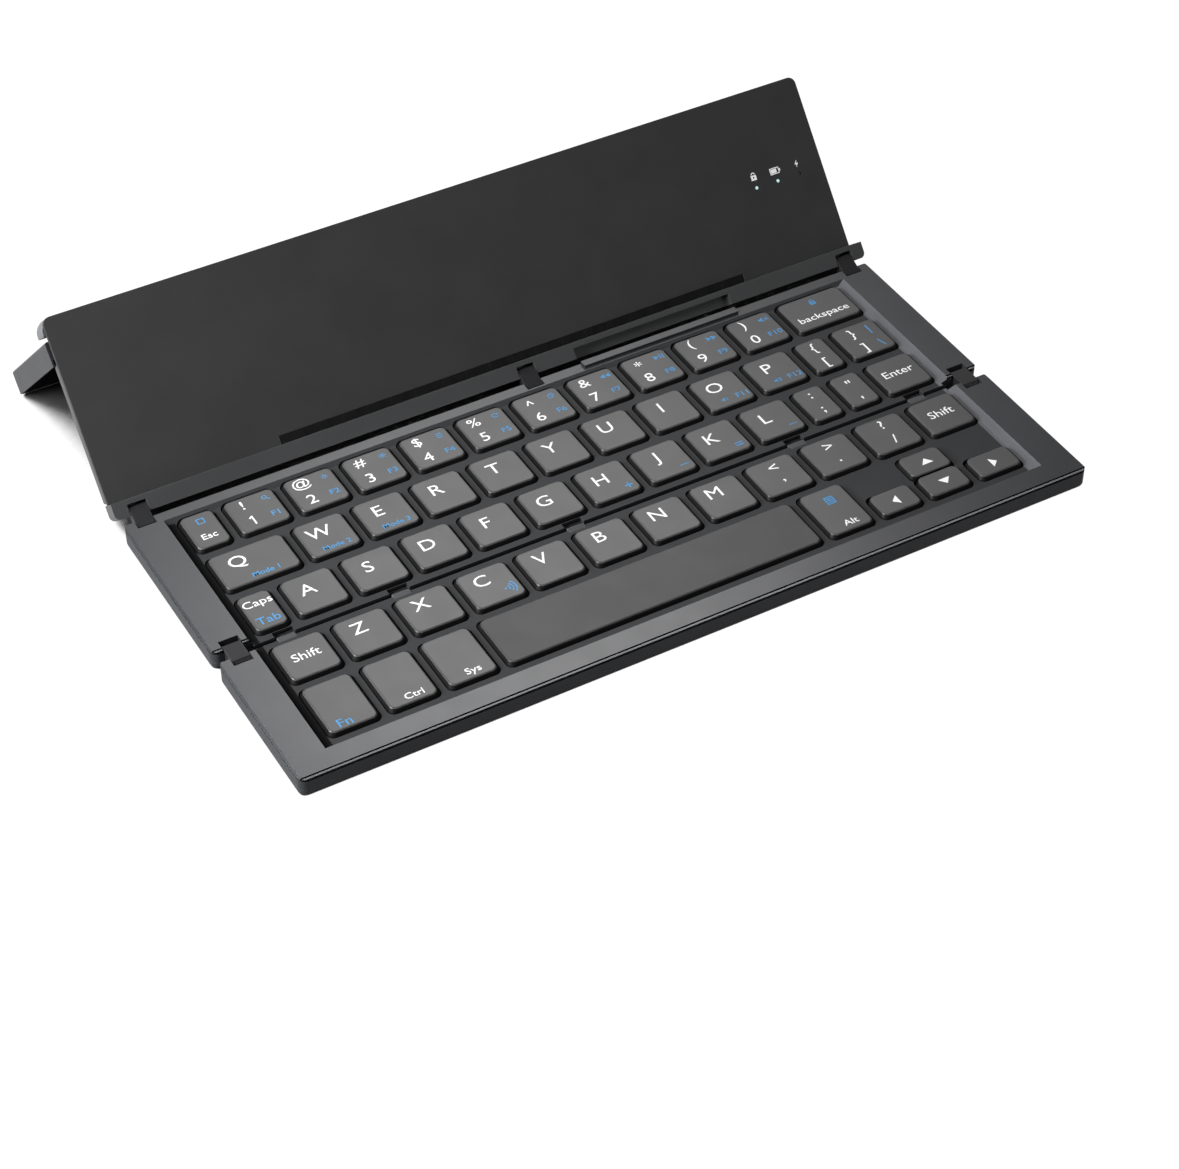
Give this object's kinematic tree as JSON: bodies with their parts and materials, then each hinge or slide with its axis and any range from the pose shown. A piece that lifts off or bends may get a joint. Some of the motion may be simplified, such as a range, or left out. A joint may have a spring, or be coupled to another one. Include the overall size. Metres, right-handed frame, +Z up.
{
  "type": "folding keyboard",
  "caption": "Pocket folding keyboard: hinged key panels and a lid that props a phone on its kickstand and folds shut over the keys.",
  "frame": {"origin": "centre of the rear key panel's flat underside", "axes": "+X to the typist's right along the width, +Y towards the raised lid, +Z up; shown opened for typing"},
  "size_m": [0.234, 0.1817, 0.0451],
  "materials": {
    "panel_trays": "satin",
    "panel_decks": "satin",
    "boards": "matt",
    "dome_mats": "matt",
    "rubber_feet": "matt",
    "bumpers": "matt",
    "magnets": "bright",
    "hinge_links": "satin",
    "hinge_pins": "polished",
    "ribbons": "satin",
    "lid_front": "matt",
    "lid_frame": "satin",
    "shell": "satin anodised",
    "core_plastic": "matt",
    "battery_wrap": "satin",
    "socket_shell": "bright",
    "ledge_rubber": "matt",
    "indicator_lens": "clear",
    "key_plastic": "satin, slightly rubbery"
  },
  "bodies": {
    "rear_panel": {"rear_base": "panel_trays", "rear_deck": "panel_decks", "rear_board": "boards", "rear_dome_mat": "dome_mats", "rear_feet": "rubber_feet"},
    "front_hinge": {"front_links": "hinge_links", "front_link_pins": "hinge_pins", "front_flex": "ribbons"},
    "front_panel": {"front_base": "panel_trays", "front_deck": "panel_decks", "front_board": "boards", "front_dome_mat": "dome_mats", "front_feet": "rubber_feet", "fold_bumpers": "bumpers", "front_magnets": "magnets"},
    "lid_hinge": {"lid_links": "hinge_links", "lid_link_pins": "hinge_pins", "lid_flex": "ribbons"},
    "lid": {"lid_plate": "lid_front", "lid_spine": "lid_frame", "lid_strip": "shell", "core_housing": "core_plastic", "battery": "battery_wrap", "main_board": "boards", "charge_socket": "socket_shell", "phone_ledge": "ledge_rubber", "indicator_lenses": "indicator_lens", "lid_magnets": "magnets"},
    "stand": {"kickstand": "shell", "kickstand_pins": "hinge_pins"},
    "esc_key": {"key_esc": "key_plastic"},
    "digits_left_keys": {"keys_digits_left": "key_plastic"},
    "digits_right_keys": {"keys_digits_right": "key_plastic"},
    "backspace_key": {"key_backspace": "key_plastic"},
    "q_key": {"key_q": "key_plastic"},
    "wer_keys": {"keys_wer": "key_plastic"},
    "tyu_keys": {"keys_tyu": "key_plastic"},
    "iop_keys": {"keys_iop": "key_plastic"},
    "bracket_left_key": {"key_bracket_left": "key_plastic"},
    "bracket_right_key": {"key_bracket_right": "key_plastic"},
    "caps_lock_key": {"key_caps_lock": "key_plastic"},
    "asd_keys": {"keys_asd": "key_plastic"},
    "fgh_keys": {"keys_fgh": "key_plastic"},
    "jkl_keys": {"keys_jkl": "key_plastic"},
    "semicolon_key": {"key_semicolon": "key_plastic"},
    "quote_key": {"key_quote": "key_plastic"},
    "enter_key": {"key_enter": "key_plastic"},
    "shift_left_key": {"key_shift_left": "key_plastic"},
    "zxcvb_keys": {"keys_zxcvb": "key_plastic"},
    "nm_keys": {"keys_nm": "key_plastic"},
    "shift_right_key": {"key_shift_right": "key_plastic"},
    "fn_key": {"key_fn": "key_plastic"},
    "ctrl_key": {"key_ctrl": "key_plastic"},
    "system_key": {"key_system": "key_plastic"},
    "space_key": {"key_space": "key_plastic"},
    "alt_key": {"key_alt": "key_plastic"},
    "arrow_left_key": {"key_arrow_left": "key_plastic"},
    "arrow_up_key": {"key_arrow_up": "key_plastic"},
    "arrow_down_key": {"key_arrow_down": "key_plastic"},
    "arrow_right_key": {"key_arrow_right": "key_plastic"}
  },
  "joints": [
    {"name": "front_link_fold", "type": "hinge", "parent": "rear_panel", "child": "front_hinge", "pos_m": [0, -0.02712, 0.0031], "axis": [-1, 0, 0], "range_deg": [0, 90]},
    {"name": "front_fold", "type": "hinge", "parent": "front_hinge", "child": "front_panel", "pos_m": [0, -0.03213, 0.0031], "axis": [-1, 0, 0], "range_deg": [0, 90]},
    {"name": "lid_link_fold", "type": "hinge", "parent": "rear_panel", "child": "lid_hinge", "pos_m": [0, 0.02712, 0.0031], "axis": [1, 0, 0], "range_deg": [0, 65.25]},
    {"name": "lid_fold", "type": "hinge", "parent": "lid_hinge", "child": "lid", "pos_m": [0, 0.03167, 0.00519], "axis": [1, 0, 0], "range_deg": [0, 65.25]},
    {"name": "kickstand_fold", "type": "hinge", "parent": "lid", "child": "stand", "pos_m": [0, 0.06768, 0.03535], "axis": [-1, 0, 0], "range_deg": [0, 86.52]},
    {"name": "esc_press", "type": "slide", "parent": "rear_panel", "child": "esc_key", "axis": [0, 0, -1], "range_m": [0, 0.00115], "stiffness_N_per_m": 400},
    {"name": "digits_left_press", "type": "slide", "parent": "rear_panel", "child": "digits_left_keys", "axis": [0, 0, -1], "range_m": [0, 0.00115], "stiffness_N_per_m": 2000},
    {"name": "digits_right_press", "type": "slide", "parent": "rear_panel", "child": "digits_right_keys", "axis": [0, 0, -1], "range_m": [0, 0.00115], "stiffness_N_per_m": 2000},
    {"name": "backspace_press", "type": "slide", "parent": "rear_panel", "child": "backspace_key", "axis": [0, 0, -1], "range_m": [0, 0.00115], "stiffness_N_per_m": 400},
    {"name": "q_press", "type": "slide", "parent": "rear_panel", "child": "q_key", "axis": [0, 0, -1], "range_m": [0, 0.00115], "stiffness_N_per_m": 400},
    {"name": "wer_press", "type": "slide", "parent": "rear_panel", "child": "wer_keys", "axis": [0, 0, -1], "range_m": [0, 0.00115], "stiffness_N_per_m": 1200},
    {"name": "tyu_press", "type": "slide", "parent": "rear_panel", "child": "tyu_keys", "axis": [0, 0, -1], "range_m": [0, 0.00115], "stiffness_N_per_m": 1200},
    {"name": "iop_press", "type": "slide", "parent": "rear_panel", "child": "iop_keys", "axis": [0, 0, -1], "range_m": [0, 0.00115], "stiffness_N_per_m": 1200},
    {"name": "bracket_left_press", "type": "slide", "parent": "rear_panel", "child": "bracket_left_key", "axis": [0, 0, -1], "range_m": [0, 0.00115], "stiffness_N_per_m": 400},
    {"name": "bracket_right_press", "type": "slide", "parent": "rear_panel", "child": "bracket_right_key", "axis": [0, 0, -1], "range_m": [0, 0.00115], "stiffness_N_per_m": 400},
    {"name": "caps_lock_press", "type": "slide", "parent": "rear_panel", "child": "caps_lock_key", "axis": [0, 0, -1], "range_m": [0, 0.00115], "stiffness_N_per_m": 400},
    {"name": "asd_press", "type": "slide", "parent": "rear_panel", "child": "asd_keys", "axis": [0, 0, -1], "range_m": [0, 0.00115], "stiffness_N_per_m": 1200},
    {"name": "fgh_press", "type": "slide", "parent": "rear_panel", "child": "fgh_keys", "axis": [0, 0, -1], "range_m": [0, 0.00115], "stiffness_N_per_m": 1200},
    {"name": "jkl_press", "type": "slide", "parent": "rear_panel", "child": "jkl_keys", "axis": [0, 0, -1], "range_m": [0, 0.00115], "stiffness_N_per_m": 1200},
    {"name": "semicolon_press", "type": "slide", "parent": "rear_panel", "child": "semicolon_key", "axis": [0, 0, -1], "range_m": [0, 0.00115], "stiffness_N_per_m": 400},
    {"name": "quote_press", "type": "slide", "parent": "rear_panel", "child": "quote_key", "axis": [0, 0, -1], "range_m": [0, 0.00115], "stiffness_N_per_m": 400},
    {"name": "enter_press", "type": "slide", "parent": "rear_panel", "child": "enter_key", "axis": [0, 0, -1], "range_m": [0, 0.00115], "stiffness_N_per_m": 400},
    {"name": "shift_left_press", "type": "slide", "parent": "front_panel", "child": "shift_left_key", "axis": [0, 0, -1], "range_m": [0, 0.00115], "stiffness_N_per_m": 400},
    {"name": "zxcvb_press", "type": "slide", "parent": "front_panel", "child": "zxcvb_keys", "axis": [0, 0, -1], "range_m": [0, 0.00115], "stiffness_N_per_m": 2000},
    {"name": "nm_press", "type": "slide", "parent": "front_panel", "child": "nm_keys", "axis": [0, 0, -1], "range_m": [0, 0.00115], "stiffness_N_per_m": 2000},
    {"name": "shift_right_press", "type": "slide", "parent": "front_panel", "child": "shift_right_key", "axis": [0, 0, -1], "range_m": [0, 0.00115], "stiffness_N_per_m": 400},
    {"name": "fn_press", "type": "slide", "parent": "front_panel", "child": "fn_key", "axis": [0, 0, -1], "range_m": [0, 0.00115], "stiffness_N_per_m": 400},
    {"name": "ctrl_press", "type": "slide", "parent": "front_panel", "child": "ctrl_key", "axis": [0, 0, -1], "range_m": [0, 0.00115], "stiffness_N_per_m": 400},
    {"name": "system_press", "type": "slide", "parent": "front_panel", "child": "system_key", "axis": [0, 0, -1], "range_m": [0, 0.00115], "stiffness_N_per_m": 400},
    {"name": "space_press", "type": "slide", "parent": "front_panel", "child": "space_key", "axis": [0, 0, -1], "range_m": [0, 0.00115], "stiffness_N_per_m": 400},
    {"name": "alt_press", "type": "slide", "parent": "front_panel", "child": "alt_key", "axis": [0, 0, -1], "range_m": [0, 0.00115], "stiffness_N_per_m": 400},
    {"name": "arrow_left_press", "type": "slide", "parent": "front_panel", "child": "arrow_left_key", "axis": [0, 0, -1], "range_m": [0, 0.00115], "stiffness_N_per_m": 400},
    {"name": "arrow_up_press", "type": "slide", "parent": "front_panel", "child": "arrow_up_key", "axis": [0, 0, -1], "range_m": [0, 0.00115], "stiffness_N_per_m": 400},
    {"name": "arrow_down_press", "type": "slide", "parent": "front_panel", "child": "arrow_down_key", "axis": [0, 0, -1], "range_m": [0, 0.00115], "stiffness_N_per_m": 400},
    {"name": "arrow_right_press", "type": "slide", "parent": "front_panel", "child": "arrow_right_key", "axis": [0, 0, -1], "range_m": [0, 0.00115], "stiffness_N_per_m": 400}
  ],
  "couplings": [
    {"joint": "front_fold", "follows": "front_link_fold", "ratio": 1},
    {"joint": "lid_fold", "follows": "lid_link_fold", "ratio": 1}
  ]
}
